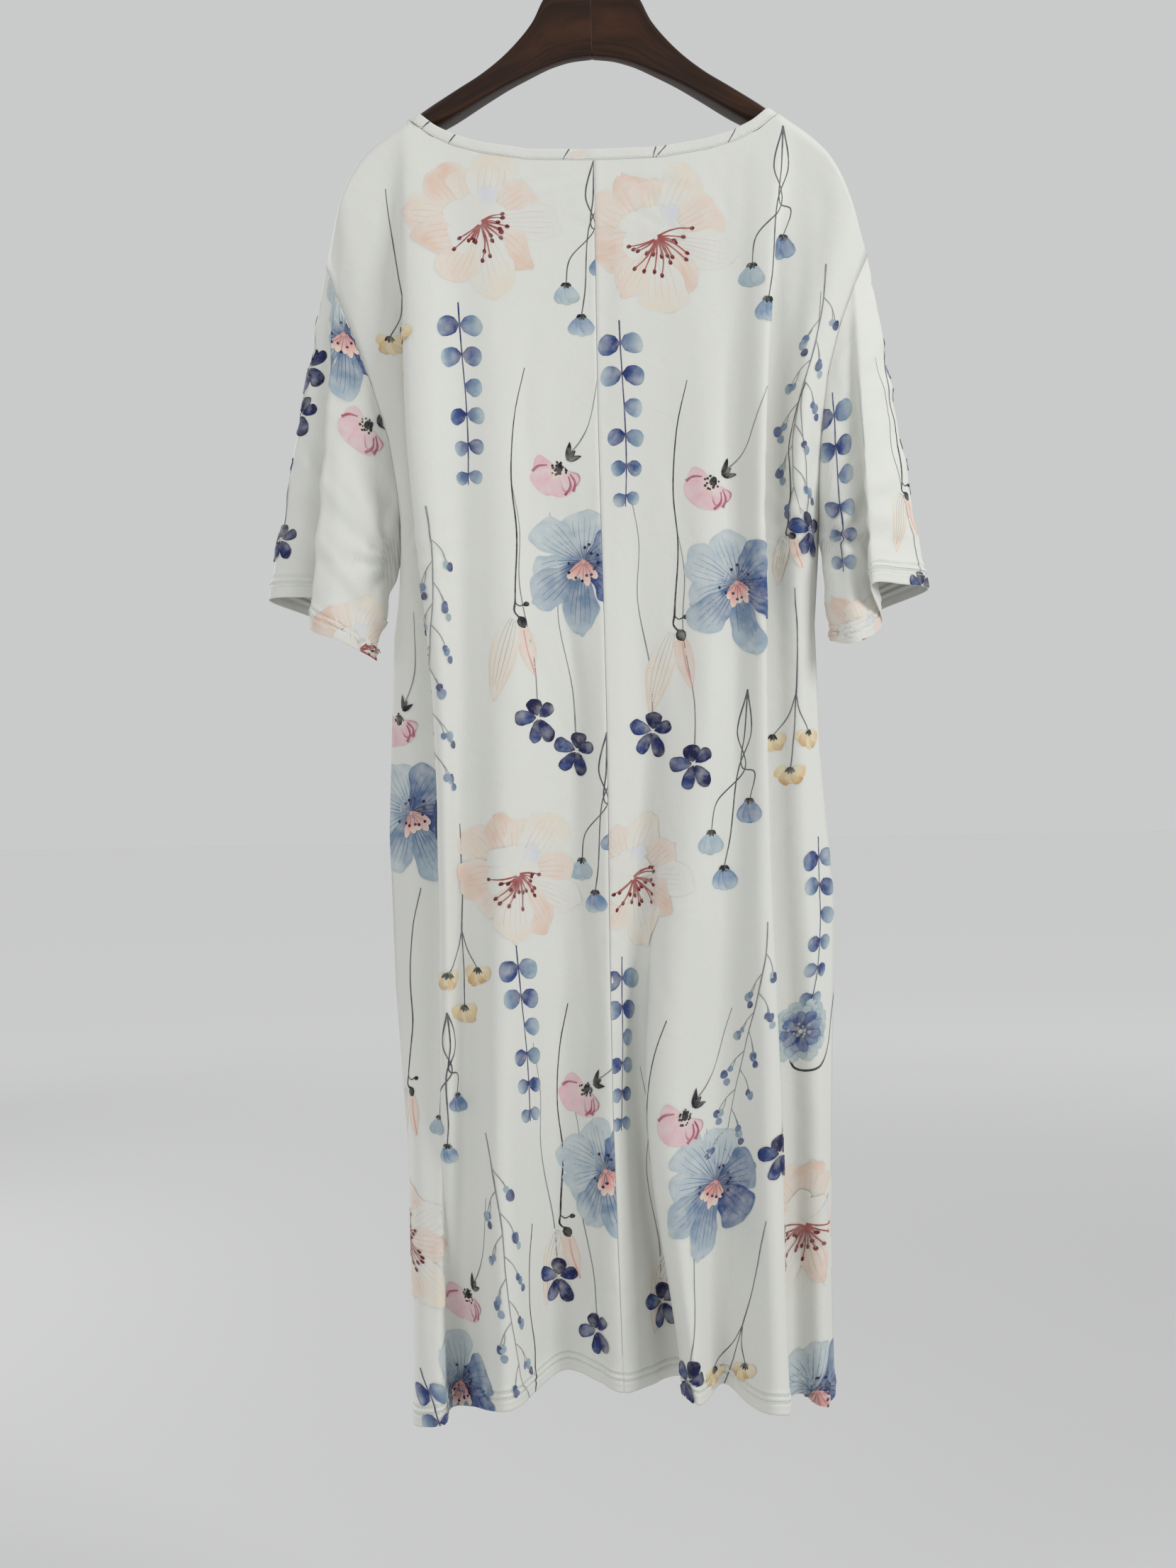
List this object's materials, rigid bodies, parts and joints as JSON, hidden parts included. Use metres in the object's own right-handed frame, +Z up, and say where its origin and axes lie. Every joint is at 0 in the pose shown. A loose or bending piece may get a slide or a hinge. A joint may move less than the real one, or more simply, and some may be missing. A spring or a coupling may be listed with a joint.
{
  "type": "short-sleeved dress on a wooden hanger",
  "caption": "Loose short-sleeved jersey dress with a wide shallow neckline and a floral print, hanging in soft folds on a wooden hanger with a metal hook.",
  "frame": {"origin": "the point inside the top of the hook where it hangs on a rail", "axes": "+Z up, X across the dress, -Y out of the dress's back, which is the side in the picture"},
  "size_m": [0.604, 0.1656, 1.354],
  "materials": {
    "jersey": "matt printed jersey",
    "binding": "matt printed jersey",
    "walnut": "dark varnish",
    "steel": "polished"
  },
  "bodies": {
    "root": {"back_left": "jersey", "back_right": "jersey", "front": "jersey", "sleeve_left": "jersey", "sleeve_right": "jersey", "neck_binding": "binding", "hanger_left": "walnut", "hanger_right": "walnut", "hook": "steel", "hook_ferrule": "steel"}
  },
  "joints": []
}
